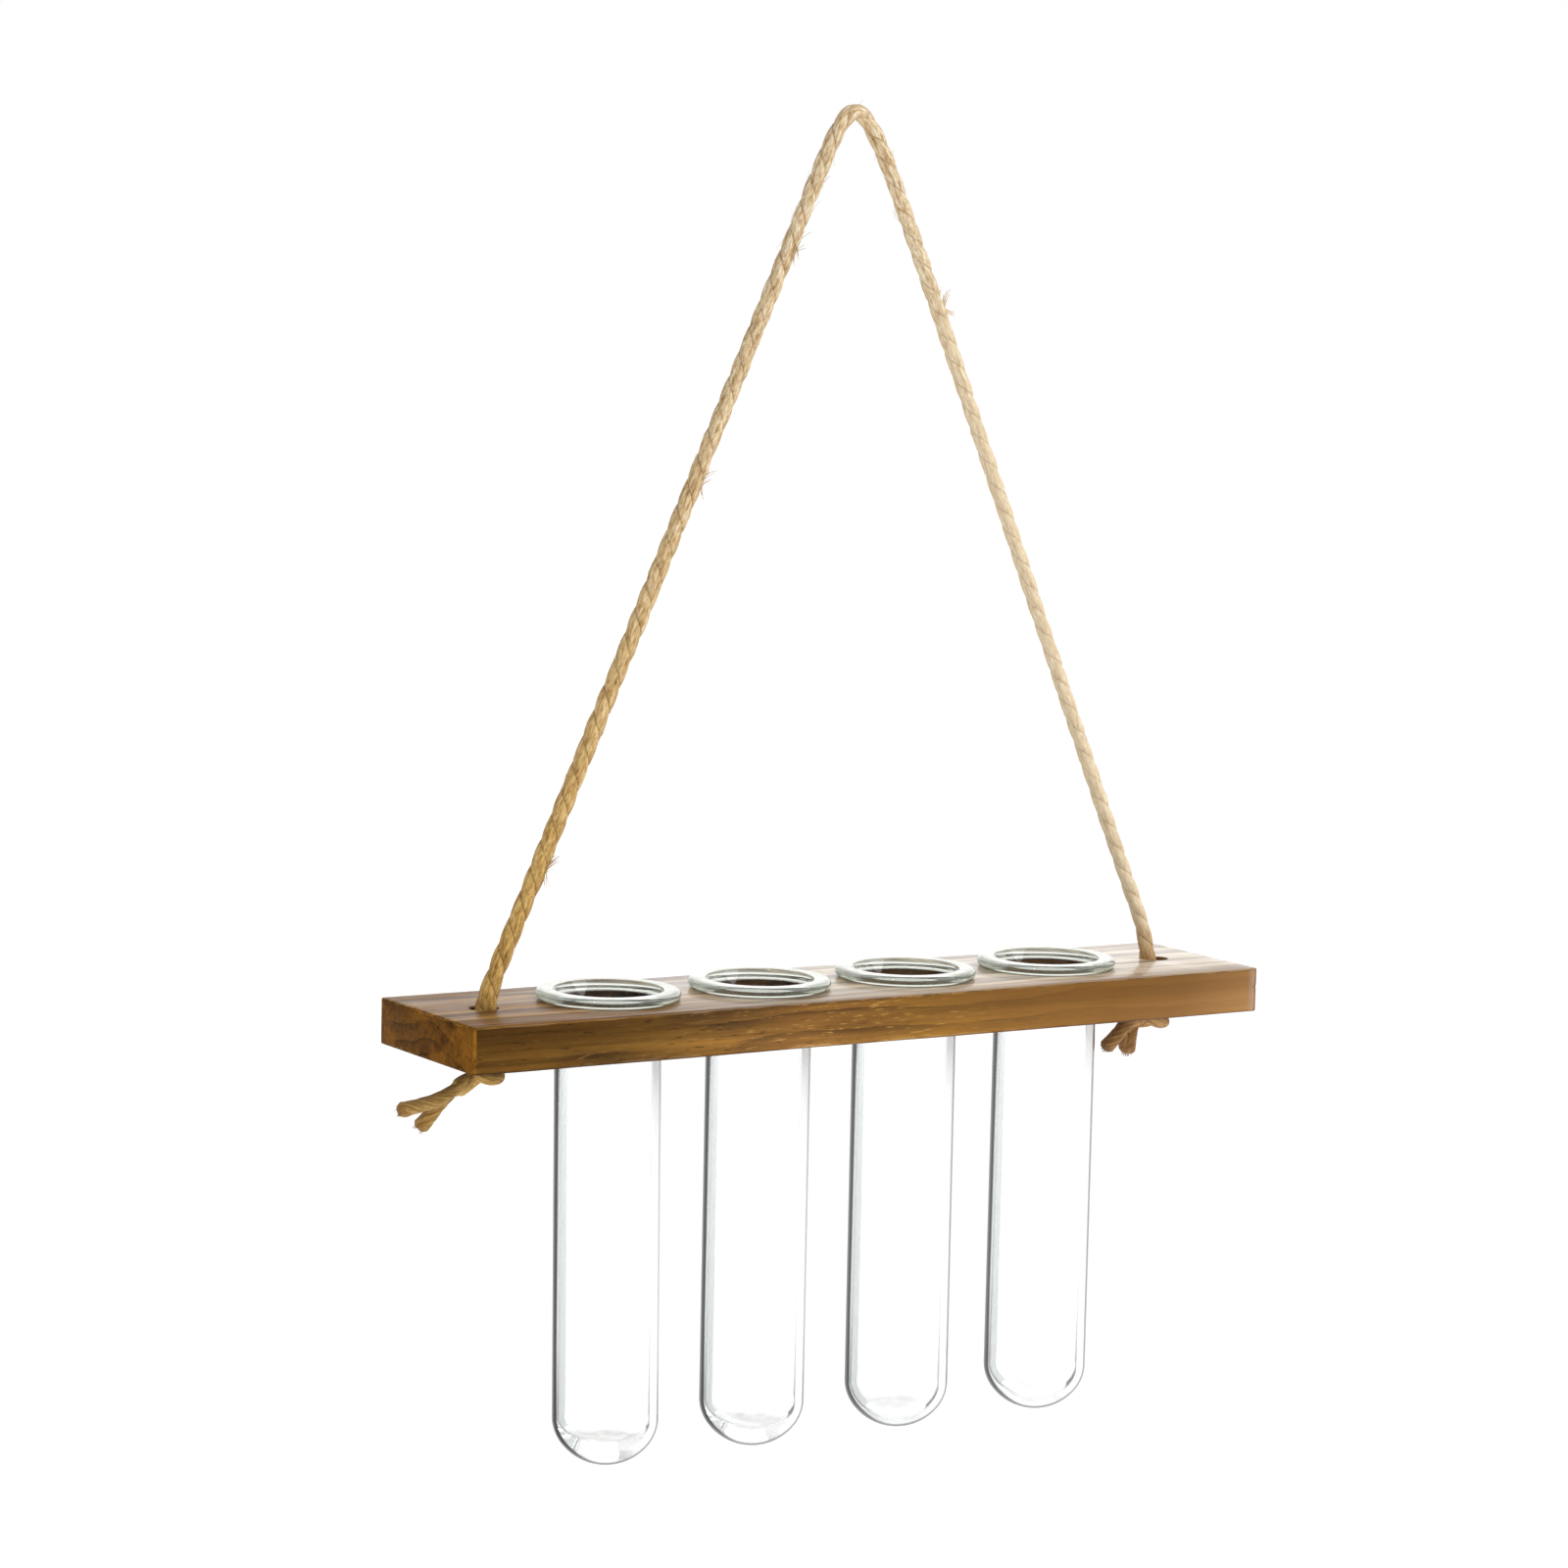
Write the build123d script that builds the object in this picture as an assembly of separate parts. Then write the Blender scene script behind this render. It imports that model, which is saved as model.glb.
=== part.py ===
from build123d import *
import os
from math import asin, atan2, degrees, hypot, pi, radians, sin, tan

# A hanging test tube vase: a drilled wooden bar, four round-bottomed glass tubes and a rope sling.
# The origin is the axis of the hook that the rope hangs on. +X runs along the bar, -Y is the
# front and +Z is up. All sizes are in millimetres.

# Wooden bar
BAR_END_MARGIN = 56.5        # from the outermost tube's axis to the bar's end
BAR_WIDTH = 55.0
BAR_THICKNESS = 13.0
BAR_EDGE_ROUND = 0.6
HANG_DROP = 242.0            # from the hook's axis down to the bar's top

# Glass tubes, left to right; the glass at the bottom is a little different in each
TUBE_BASE_GLASS = (3.6, 3.0, 1.6, 2.1)
TUBE_PITCH = 49.0
TUBE_DIAMETER = 30.0
TUBE_WALL = 1.5
TUBE_DROP = 132.0            # from the lip's seat down to the lowest point
TUBE_BASE_FLATNESS = 1.5     # how much flatter than a half ball the bottom is outside
TUBE_HOLE_CLEARANCE = 1.0    # on the diameter
LIP_DIAMETER = 40.5
LIP_THICKNESS = 3.0
LIP_EDGE_ROUND = 1.2
MOUTH_FLARE = 1.9            # how far the bore opens on each side at the top
MOUTH_FLARE_DEPTH = 4.0
MOUTH_ROUND = 0.5

# Rope: two plies twisted together
ROPE_DIAMETER = 5.0
PLY_DIAMETER = 4.0           # a loose ply below the knot, fluffed out
ROPE_HOLE_DIAMETER = 8.0
ROPE_HOLE_INSET = 17.5       # from the bar's end to the hole's axis
ROPE_WALL_GAP = 0.2          # between the rope and the side of its hole that it pulls against
PIVOT_GAP = 0.3              # between the bar's top and the rope that bends above it
HOOK_DIAMETER = 3.0

# Stopper knots: one wrap round the rope, pulled up against the bar's underside
KNOT_SQUEEZE = 0.2           # how far the wrap is pulled into the rope
KNOT_TILT = 20.0             # degrees
KNOT_SEAT_GAP = 0.2

# Each side's two loose plies, as points from the middle of its knot to the ply's end
LEFT_PLIES = (
    ((0.0, 0.0, 0.0), (-16.0, -1.8, -7.4), (-27.0, -2.5, -8.4)),
    ((0.0, 0.0, 0.0), (-13.5, 0.8, -6.4), (-20.0, 0.5, -12.8)),
)
RIGHT_PLIES = (
    ((0.0, 0.0, 0.0), (-8.5, -1.0, -3.0), (-15.5, -0.5, -8.7)),
    ((0.0, 0.0, 0.0), (-5.5, 1.0, -3.2), (-7.2, 1.0, -10.4)),
)
ARC_SHARE = 0.45             # of the shorter run, that a bend in a ply may use

# Places worked out from the sizes above
tube_count = len(TUBE_BASE_GLASS)
tube_xs = [(i - (tube_count - 1) / 2) * TUBE_PITCH for i in range(tube_count)]
bar_length = 2 * (max(tube_xs) + BAR_END_MARGIN)
tube_radius = TUBE_DIAMETER / 2
bore_radius = tube_radius - TUBE_WALL
rope_radius = ROPE_DIAMETER / 2
bar_top = -HANG_DROP
bar_bottom = bar_top - BAR_THICKNESS
rope_hole_x = bar_length / 2 - ROPE_HOLE_INSET
rope_x = rope_hole_x - (ROPE_HOLE_DIAMETER - ROPE_DIAMETER) / 2 + ROPE_WALL_GAP
pivot_z = bar_top + PIVOT_GAP + rope_radius
wrap_radius = ROPE_DIAMETER - KNOT_SQUEEZE
knot_reach = wrap_radius * sin(radians(KNOT_TILT)) + rope_radius    # the tilted wrap's half height


def save(node, solid):
    """Write one sub-part under its node's name."""
    solid.label = node
    export_step(solid, f"parts/{node}.step")


# Wooden bar
def wooden_bar():
    """A planed bar with a row of tube holes and a rope hole near each end."""
    middle = Pos(0, 0, (bar_top + bar_bottom) / 2)
    bar = middle * Box(bar_length, BAR_WIDTH, BAR_THICKNESS)
    bar = fillet(bar.edges(), BAR_EDGE_ROUND)
    through = 2 * BAR_THICKNESS
    tube_hole_radius = (TUBE_DIAMETER + TUBE_HOLE_CLEARANCE) / 2
    for x in tube_xs:
        bar -= middle * Pos(x, 0, 0) * Cylinder(tube_hole_radius, through)
    for side in (-1, 1):
        bar -= middle * Pos(side * rope_hole_x, 0, 0) * Cylinder(ROPE_HOLE_DIAMETER / 2, through)
    return bar


# Glass tubes
def round_bottom(radius, lowest, flatness):
    """Half of a slightly flattened round bottom: a crown arc, a corner arc, and where they end."""
    height = radius - flatness
    corner = height - flatness
    inset = radius - corner
    crown = (height**2 + inset**2 - corner**2) / (2 * (height - corner))
    corner_middle = (inset, lowest + height)
    crown_middle = (0, lowest + crown)
    turn = degrees(atan2(corner_middle[1] - crown_middle[1], inset))
    crown_arc = CenterArc(crown_middle, crown, -90, turn + 90)
    corner_arc = CenterArc(corner_middle, corner, turn, -turn)
    return crown_arc, corner_arc, lowest + height


def test_tube(x, base_glass):
    """A blown tube whose rolled lip rests on the bar's top."""
    bore_lowest = -TUBE_DROP + base_glass
    bore_flatness = TUBE_BASE_FLATNESS + base_glass - TUBE_WALL    # thick glass only under the bore
    outer_crown, outer_corner, outer_side = round_bottom(tube_radius, -TUBE_DROP, TUBE_BASE_FLATNESS)
    inner_crown, inner_corner, inner_side = round_bottom(bore_radius, bore_lowest, bore_flatness)
    lip_radius = LIP_DIAMETER / 2
    edge_in = lip_radius - LIP_EDGE_ROUND
    edge_up = LIP_THICKNESS - LIP_EDGE_ROUND
    mouth_radius = bore_radius + MOUTH_FLARE
    mouth_out = mouth_radius + MOUTH_ROUND
    mouth_down = LIP_THICKNESS - MOUTH_ROUND
    flare_end = LIP_THICKNESS - MOUTH_FLARE_DEPTH
    profile = [
        outer_crown,
        outer_corner,
        Line((tube_radius, outer_side), (tube_radius, 0)),
        Line((tube_radius, 0), (edge_in, 0)),
        CenterArc((edge_in, LIP_EDGE_ROUND), LIP_EDGE_ROUND, -90, 90),
        Line((lip_radius, LIP_EDGE_ROUND), (lip_radius, edge_up)),
        CenterArc((edge_in, edge_up), LIP_EDGE_ROUND, 0, 90),
        Line((edge_in, LIP_THICKNESS), (mouth_out, LIP_THICKNESS)),
        CenterArc((mouth_out, mouth_down), MOUTH_ROUND, 90, 90),
        Line((mouth_radius, mouth_down), (bore_radius, flare_end)),
        Line((bore_radius, flare_end), (bore_radius, inner_side)),
        inner_corner,
        inner_crown,
        Line((0, bore_lowest), (0, -TUBE_DROP)),
    ]
    section = Plane.XZ * make_face(profile)
    return Pos(x, 0, bar_top) * revolve(section, Axis.Z)


# Rope sling
def rope_loop():
    """The free stretch: two taut runs over the hook, with round ends that the bar swings about."""
    arc_radius = (HOOK_DIAMETER + ROPE_DIAMETER) / 2
    run_angle = atan2(rope_x, -pivot_z) - asin(arc_radius / hypot(rope_x, pivot_z))
    peak = arc_radius / sin(run_angle)
    route = [(-rope_x, 0, pivot_z), (0, 0, peak), (rope_x, 0, pivot_z)]
    path = FilletPolyline(*route, radius=arc_radius)
    tube = sweep(Plane(path @ 0, z_dir=path % 0) * Circle(rope_radius), path=path)
    share = tube.volume / (pi * rope_radius**2 * path.length)
    print(f"rope loop: {path.length:.1f} mm, bend {arc_radius:.2f} mm, volume share {share:.4f}")
    for side in (-1, 1):
        tube += Pos(side * rope_x, 0, pivot_z) * Sphere(rope_radius)
    return tube


def rope_shank(side):
    """The rope inside its hole, from the bar's top to the knot."""
    middle = (bar_top + bar_bottom) / 2
    return Pos(side * rope_x, 0, middle) * Cylinder(rope_radius, BAR_THICKNESS)


def knot_middle(side):
    """Where a knot's middle is, under its hole."""
    return Pos(side * rope_x, 0, bar_bottom - KNOT_SEAT_GAP - knot_reach)


def stopper_knot(side):
    """One tilted wrap, pulled tight round the rope that comes down through the bar."""
    top = KNOT_SEAT_GAP + knot_reach
    core = Pos(0, 0, top / 2) * Cylinder(rope_radius, top) + Sphere(rope_radius)
    wrap = Rot(0, KNOT_TILT, 0) * Torus(wrap_radius, rope_radius)
    return knot_middle(side) * (core + wrap)


def ply(points, name):
    """One loose ply: straight runs joined by an arc as large as they allow, with a round end."""
    start, bend, end = [Vector(*point) for point in points]
    turn = radians((bend - start).get_angle(end - bend))
    shorter = min((bend - start).length, (end - bend).length)
    radius = ARC_SHARE * shorter / tan(turn / 2)
    path = FilletPolyline(start, bend, end, radius=radius)
    section = Plane(path @ 0, z_dir=path % 0) * Circle(PLY_DIAMETER / 2)
    tube = sweep(section, path=path)
    share = tube.volume / (pi * (PLY_DIAMETER / 2) ** 2 * path.length)
    print(f"{name}: {path.length:.1f} mm, bend {radius:.1f} mm, volume share {share:.4f}")
    return tube + Pos(end) * Sphere(PLY_DIAMETER / 2)


def loose_plies(side, routes, name):
    """Both plies of one rope end, as far as they stand out of the knot."""
    plies = [ply(points, name) for points in routes]
    return knot_middle(side) * (plies[0] + plies[1]) - stopper_knot(side)


os.makedirs("parts", exist_ok=True)
save("wooden_bar", wooden_bar())
for number, (x, base_glass) in enumerate(zip(tube_xs, TUBE_BASE_GLASS), start=1):
    save(f"test_tube_{number}", test_tube(x, base_glass))
save("rope_loop", rope_loop())
for name, side, routes in (("left", -1, LEFT_PLIES), ("right", 1, RIGHT_PLIES)):
    save(f"{name}_rope_shank", rope_shank(side))
    save(f"{name}_knot", stopper_knot(side))
    save(f"{name}_loose_plies", loose_plies(side, routes, f"{name} ply"))
print(f"bar top {bar_top:.2f}, rope at x {rope_x:.2f}, pivot z {pivot_z:.2f}")
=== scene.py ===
# %% [markdown]
# # A hanging test tube vase
# A drilled wooden bar hangs on one jute rope, and four glass tubes hang in the bar by their lips.
# The packed model is the frame: it gives every piece its place and its body, and this lesson
# dresses it. Everything is in metres, with the origin on the hook that the rope hangs on. Light
# may bounce often, because a ray that runs along a glass wall is reflected many times.

# %% Load the frame
import math
import random
import bpy
import numpy as np
from mathutils import Matrix, Vector


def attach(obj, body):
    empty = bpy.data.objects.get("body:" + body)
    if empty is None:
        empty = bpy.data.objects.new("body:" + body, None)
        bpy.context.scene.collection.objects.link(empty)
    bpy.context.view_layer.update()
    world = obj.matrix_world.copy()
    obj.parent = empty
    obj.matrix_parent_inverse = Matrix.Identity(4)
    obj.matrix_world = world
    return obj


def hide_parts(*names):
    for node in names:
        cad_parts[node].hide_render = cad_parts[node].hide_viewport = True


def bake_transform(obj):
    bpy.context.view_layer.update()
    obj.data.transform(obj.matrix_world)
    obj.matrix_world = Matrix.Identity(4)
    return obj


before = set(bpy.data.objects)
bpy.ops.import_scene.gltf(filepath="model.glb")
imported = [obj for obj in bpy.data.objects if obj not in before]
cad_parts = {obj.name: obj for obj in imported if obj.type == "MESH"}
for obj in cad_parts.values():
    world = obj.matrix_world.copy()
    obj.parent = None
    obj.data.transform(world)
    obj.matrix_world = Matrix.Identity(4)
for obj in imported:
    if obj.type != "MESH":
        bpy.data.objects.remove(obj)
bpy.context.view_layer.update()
MM = 0.001
GLASS_BOUNCES, MIRROR_BOUNCES = 24, 16
scene = bpy.context.scene
scene.view_settings.view_transform = "Standard"
scene.cycles.max_bounces = GLASS_BOUNCES
scene.cycles.transmission_bounces = GLASS_BOUNCES
scene.cycles.glossy_bounces = MIRROR_BOUNCES
bpy.ops.object.select_all(action="DESELECT")

# %% [markdown]
# ## Camera
# The camera stands in front of the vase, to its left and above its bar. Its place and lens
# were worked out from the bar's corners and the tubes' edges, so the frame can be filled with no
# shift. A camera looks along its own -Z, so the matrix takes right, up and backwards as columns.

# %% Camera
CAMERA_PLACE = Vector((-742.23, -1179.71, -17.74)) * MM
CAMERA_YAW = math.radians(31.549)
CAMERA_PITCH = math.radians(6.863)
CAMERA_ROLL = math.radians(1.331)
LENS, SENSOR_WIDTH = 113.58, 36.0

ahead = Vector((math.sin(CAMERA_YAW) * math.cos(CAMERA_PITCH),
                math.cos(CAMERA_YAW) * math.cos(CAMERA_PITCH), -math.sin(CAMERA_PITCH)))
level_right = Vector((math.cos(CAMERA_YAW), -math.sin(CAMERA_YAW), 0))
level_up = level_right.cross(ahead)
right = math.cos(CAMERA_ROLL) * level_right + math.sin(CAMERA_ROLL) * level_up
up = -math.sin(CAMERA_ROLL) * level_right + math.cos(CAMERA_ROLL) * level_up

bpy.ops.object.camera_add()
camera = bpy.context.object
camera.name = "photo_camera"
camera.data.lens = LENS
camera.data.sensor_width = SENSOR_WIDTH
camera.data.clip_start = 50 * MM
turn = Matrix((right, up, -ahead)).transposed().to_4x4()
camera.matrix_world = Matrix.Translation(CAMERA_PLACE) @ turn
scene.camera = camera
print("camera at", [round(value, 3) for value in CAMERA_PLACE])

# %% [markdown]
# ## The rope's line
# The rope goes up out of the left hole, straight to the hook, over it, and down to the right
# hole. Its line is one smooth NURBS curve, with two points at the hook because the rope is too
# stiff to fold sharply there. The curve itself is only a guide: its points are read and the
# twisted plies follow them.

# %% Rope line
ROPE_ROUTE = [
    (-111.6, 0, -256.0), (-112.6, 0, -243.5), (-110.0, 0, -234.5), (-99.6, 0, -211.7),
    (-15.6, 0, -23.5), (-3.35, 0, 4.5), (4.6, 0, 3.6), (18.0, 0, -23.5),
    (98.6, 0, -211.7), (111.3, 0, -239.0), (111.2, 0, -256.0),
]
ROPE_STEP = 0.9 * MM
POINTS_PER_SPAN = 48


def read_line(name, route):
    """The points of a smooth curve that has the route's points, in millimetres, as its controls."""
    curve = bpy.data.curves.new(name, "CURVE")
    curve.dimensions = "3D"
    curve.resolution_u = POINTS_PER_SPAN
    spline = curve.splines.new("NURBS")
    spline.points.add(len(route) - 1)
    for point, (x, y, z) in zip(spline.points, route):
        point.co = (x * MM, y * MM, z * MM, 1.0)
    spline.order_u = 3
    spline.use_endpoint_u = True
    guide = bpy.data.objects.new(name, curve)
    scene.collection.objects.link(guide)
    line = bpy.data.meshes.new_from_object(guide)
    points = np.array([vertex.co for vertex in line.vertices])
    bpy.data.objects.remove(guide)
    bpy.data.curves.remove(curve)
    bpy.data.meshes.remove(line)
    return points


def walk(points, step):
    """The same line in even steps, and how far along it each step is."""
    lengths = np.linalg.norm(np.diff(points, axis=0), axis=1)
    along = np.concatenate([[0], np.cumsum(lengths)])
    stops = np.linspace(0, along[-1], int(round(along[-1] / step)) + 1)
    return np.stack([np.interp(stops, along, points[:, k]) for k in range(3)], axis=1), stops


def carry_across(points):
    """Two directions across the line, carried from step to step without twisting."""
    ahead_of = np.gradient(points, axis=0)
    ahead_of /= np.linalg.norm(ahead_of, axis=1)[:, None]
    across = np.zeros_like(points)
    carried = np.array((0.0, 1.0, 0.0))
    for i in range(len(points)):
        carried = carried - ahead_of[i] * (carried @ ahead_of[i])
        carried = carried / np.linalg.norm(carried)
        across[i] = carried
    return across, np.cross(ahead_of, across)


rope_line, rope_along = walk(read_line("rope_guide", ROPE_ROUTE), ROPE_STEP)
rope_length = rope_along[-1]
print(f"rope: {rope_length * 1000:.1f} mm in {len(rope_line)} steps")

# %% [markdown]
# ## Fibres, ridges and lumps
# Jute is spun from coarse fibres, so a ply has fine ridges along it and thick and thin places.
# Sums of waves with drawn phases give both, and a fixed seed gives the same rope every time. Each
# point of the mesh also keeps where it is along and around its ply, and a tone, so that the fibres
# in the material can follow the twist and painted shade can darken the furrows.

# %% Fibres, ridges and lumps
RIDGE_COUNTS = (5, 7, 9, 11, 13, 16, 19)
LUMP_WAVES = (0.011, 0.019, 0.034, 0.07)
ABOUT_A_TURN = 6.28
fibre_noise = np.random.default_rng(7)


def ridges(around, along):
    """Fine ridges that run along a ply, from -1 to 1."""
    height = np.zeros(np.broadcast(around, along).shape)
    for count in RIDGE_COUNTS:
        drift, phase = fibre_noise.uniform(-170, 170), fibre_noise.uniform(0, ABOUT_A_TURN)
        fade = 0.6 + 0.4 * np.sin(along * fibre_noise.uniform(90, 260)
                                  + fibre_noise.uniform(0, ABOUT_A_TURN))
        height = height + fade * np.cos(count * around + drift * along + phase) / 3.2
    return height


def lumps(along, size):
    """Slow thick and thin places, as hand-fed jute has."""
    swell = np.zeros_like(along)
    for wave in LUMP_WAVES:
        phase = fibre_noise.uniform(0, ABOUT_A_TURN)
        swell += np.sin(along * ABOUT_A_TURN / wave + phase) / len(LUMP_WAVES)
    return 1 + size * swell


def fibre_places(along, turned_by, radius):
    """Where each point is along and around its ply."""
    return np.stack([np.broadcast_to(along, turned_by.shape), radius * np.cos(turned_by),
                     radius * np.sin(turned_by)], axis=2)


def jute_mesh(name, places, faces, fibre, tone):
    """A mesh with the fibre places and tones that the jute material reads."""
    mesh = bpy.data.meshes.new(name)
    mesh.from_pydata(places, [], faces)
    for attribute, kind, field, values in (("fibre", "FLOAT_VECTOR", "vector", fibre),
                                           ("tone", "FLOAT", "value", tone)):
        layer = mesh.attributes.new(attribute, kind, "POINT")
        layer.data.foreach_set(field, np.asarray(values, np.float32).reshape(-1))
    piece = bpy.data.objects.new(name, mesh)
    scene.collection.objects.link(piece)
    return piece


print("ridges:", len(RIDGE_COUNTS), "waves; lumps:", len(LUMP_WAVES), "waves")

# %% [markdown]
# ## Twisted plies
# Jute rope like this is two plies laid round each other. Pressed together, each is D-shaped. A
# twisted bevel on a curve could give the lay, but no ridges and no thick and thin places, so each
# ply is a skin of rings that turn as they go along the line. The rope is a little thinner towards
# the right, and it splays where it goes into its holes.

# %% Ply skins
ROPE_DIAMETER = 5.0 * MM
LAY_PITCH = rope_length / round(rope_length / (3.05 * ROPE_DIAMETER))
LAY_HAND = -1
SPIN_PITCH = 1.95 * ROPE_DIAMETER
OUTSIDE_POINTS, INSIDE_POINTS = 34, 6
PLY_EDGE, PLY_BULGE, PLY_ROUNDNESS, PLY_GAP = 0.395, 0.115, 0.6, 0.012
RIDGE_HEIGHT, RIDGED_FROM, ROPE_LUMPS = 0.034, 0.9, 0.05
FURROW_EDGE, FURROW_WIDTH = 0.98, 0.14
SHADED_FURROW, SHADED_FURROW_SWING, SHADED_FURROW_LUMPS = 0.35, 2.2, 0.3
LEFT_DIAMETER, THINNING, THINNED_AT = 5.2, 0.85, 0.7
HOLE_MOUTH_Z, SPLAY_REACH = -241.5 * MM, 4.0 * MM
LEFT_SPLAY, RIGHT_SPLAY = 0.16, 0.14


def skin(rings, fibre, tone, name):
    """A closed skin over rings of points."""
    count, size = rings.shape[:2]
    faces = []
    for i in range(count - 1):
        for j in range(size):
            k = (j + 1) % size
            faces.append((i * size + j, i * size + k, (i + 1) * size + k, (i + 1) * size + j))
    faces.append(tuple(reversed(range(size))))
    faces.append(tuple(range((count - 1) * size, count * size)))
    return jute_mesh(name, rings.reshape(-1, 3).tolist(), faces, fibre, tone)


def laid_ply(line, along, diameter, start_turn, name):
    """One D-shaped ply of the rope, laid round the line."""
    across, beside = carry_across(line)
    out = np.linspace(-math.pi / 2, math.pi / 2, OUTSIDE_POINTS)
    flat = np.linspace(1, -1, INSIDE_POINTS + 2)[1:-1]
    reach = PLY_EDGE + PLY_BULGE * np.cos(out) ** PLY_ROUNDNESS
    near = np.concatenate([reach * np.cos(out), np.full(INSIDE_POINTS, PLY_GAP)])
    aside = np.concatenate([reach * np.sin(out), flat * PLY_EDGE])
    around = np.linspace(0, 2 * math.pi, len(near), endpoint=False)
    s = along[:, None]
    turned_by = around[None, :] - s * 2 * math.pi / SPIN_PITCH
    outside = np.hypot(near, aside) / PLY_EDGE
    height = 1 + RIDGE_HEIGHT * ridges(turned_by, s) * (outside > RIDGED_FROM)
    width = (diameter * lumps(along, ROPE_LUMPS))[:, None]
    lay = LAY_HAND * 2 * math.pi * along / LAY_PITCH + start_turn
    toward = np.cos(lay)[:, None] * across + np.sin(lay)[:, None] * beside
    sideways = -np.sin(lay)[:, None] * across + np.cos(lay)[:, None] * beside
    rings = (line[:, None, :] + (width * near * height)[:, :, None] * toward[:, None, :]
             + (width * aside * height)[:, :, None] * sideways[:, None, :])
    # The tone is painted shade: the furrows between the plies are darker, more in some places than
    # in others.
    shaded_furrow = np.clip(SHADED_FURROW + SHADED_FURROW_SWING * (lumps(along, SHADED_FURROW_LUMPS) - 1), 0.05, 0.75)[:, None]
    tone = shaded_furrow + (1 - shaded_furrow) * np.clip((outside - FURROW_EDGE) / FURROW_WIDTH, 0, 1)
    return skin(rings, fibre_places(s, turned_by, 0.3 * ROPE_DIAMETER), tone, name)


def join(pieces, name):
    """One object out of several, as Ctrl J makes it."""
    bpy.ops.object.select_all(action="DESELECT")
    for piece in pieces:
        piece.select_set(True)
    bpy.context.view_layer.objects.active = pieces[0]
    bpy.ops.object.join()
    joined = bpy.context.object
    joined.name = joined.data.name = name
    bpy.ops.object.shade_smooth()
    return joined


def laid_rope(line, along, diameter, name):
    """Both plies, half a turn apart, as one object."""
    two = [laid_ply(line, along, diameter, k * math.pi, f"{name}_ply_{k}") for k in (0, 1)]
    return join(two, name)


thinned = np.clip(rope_along / rope_length / THINNED_AT, 0, 1)
rope_diameter = (LEFT_DIAMETER - THINNING * thinned) * MM
splay = np.exp(-((rope_line[:, 2] - HOLE_MOUTH_Z) / SPLAY_REACH) ** 2)
rope_diameter *= 1 + np.where(rope_line[:, 0] < 0, LEFT_SPLAY, RIGHT_SPLAY) * splay
rope = laid_rope(rope_line, rope_along, rope_diameter, "twisted_rope")
print(f"rope: {len(rope.data.polygons)} faces, one turn every {LAY_PITCH * 1000:.1f} mm")

# %% [markdown]
# ## Stopper knots and loose plies
# Under each hole the rope is tied in an overhand knot, and past the knot its two plies come apart
# into stubby tails. The knot is the same laid rope on a tighter line, which really goes round and
# through itself. Each tail is a single ply that swells where the twist lets go, with a blunt
# frayed end. On the right a thin third strand has come loose as well.

# %% Knots
KNOT_TURNS = [
    (0, 0, 1.0), (0, 0, -1.65), (0.1, 0.5, -3.1), (0.95, 2.1, -4.2), (2.5, 2.4, -5.35),
    (3.5, 1.15, -6.5), (3.15, -0.95, -7.45), (1.6, -3.05, -7.7), (-0.75, -4.2, -7.4),
    (-2.95, -4.0, -6.5), (-4.1, -2.5, -5.5), (-4.2, -0.4, -4.5), (-4.1, 1.6, -3.5),
    (-2.95, 3.5, -2.6), (-0.65, 4.3, -2.05), (2.0, 3.9, -2.0), (3.9, 2.2, -2.4),
    (4.4, 0.1, -3.3), (3.35, -1.5, -4.4), (1.35, -1.8, -5.25), (-0.4, -0.5, -6.1),
]
KNOT_TOPS = {"left": (-111.2, 0, -255.0), "right": (111.2, 0, -255.0)}
KNOT_MIDDLE_DROP = 4.34
KNOT_FLATTENING = 0.8
KNOT_ROPE_DIAMETER = 4.1 * MM
KNOT_TURNED_BY = {"left": 0.0, "right": 50.0}
KNOT_STEP, TAIL_STEP = 0.6 * MM, 0.5 * MM
STEM_LENGTH, STEM_LOOSENING, STEM_SWELL = 11 * MM, 6 * MM, 0.36
STEM_TAPER, STEM_TIP = 5 * MM, 0.35
STEM_ROUTES = {
    "left": [(-2.8, -0.6, -1.4), (-7.0, -0.9, -2.6), (-13.5, -1.0, -6.6)],
    "right": [(-2.0, 0.2, -0.9), (-5.8, 0.1, -0.4), (-7.6, 0.0, -4.4)],
}
# Each tail's radius, and its route from the knot's middle.
TAILS = {
    "left": [
        (2.15, [(-8.5, -1.3, -3.0), (-15.0, -1.9, -6.6), (-21.0, -2.2, -7.7), (-28.0, -2.5, -8.6)]),
        (2.1, [(-8.0, 0.0, -3.6), (-13.5, 0.6, -7.2), (-16.6, 0.6, -11.0), (-20.4, 0.5, -14.6)]),
    ],
    "right": [
        (2.2, [(-5.0, -0.6, -0.3), (-9.0, -0.8, -1.4), (-11.0, -0.7, -4.2), (-16.0, -0.5, -8.6)]),
        (2.3, [(-3.0, 0.6, -0.8), (-5.2, 1.0, -2.4), (-6.3, 1.0, -6.5), (-7.0, 1.0, -10.8)]),
        (1.2, [(-8.2, 0.1, -4.6), (-9.0, 0.1, -6.4), (-9.5, 0.1, -8.6)]),
    ],
}


def from_middle(side, route):
    """A route that is given from the knot's middle, in the frame."""
    middle = np.add(KNOT_TOPS[side], (0, 0, -KNOT_MIDDLE_DROP))
    return [tuple(middle + place) for place in route]


def knot_route(side):
    """The knot's turns, turned about the rope, and the stem that leaves it."""
    turn_by = math.radians(KNOT_TURNED_BY[side])
    cos, sin = math.cos(turn_by), math.sin(turn_by)
    turns = [np.add(KNOT_TOPS[side], (x * cos - y * sin, x * sin + y * cos, z * KNOT_FLATTENING))
             for x, y, z in KNOT_TURNS]
    return [tuple(place) for place in turns] + from_middle(side, STEM_ROUTES[side])


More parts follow.
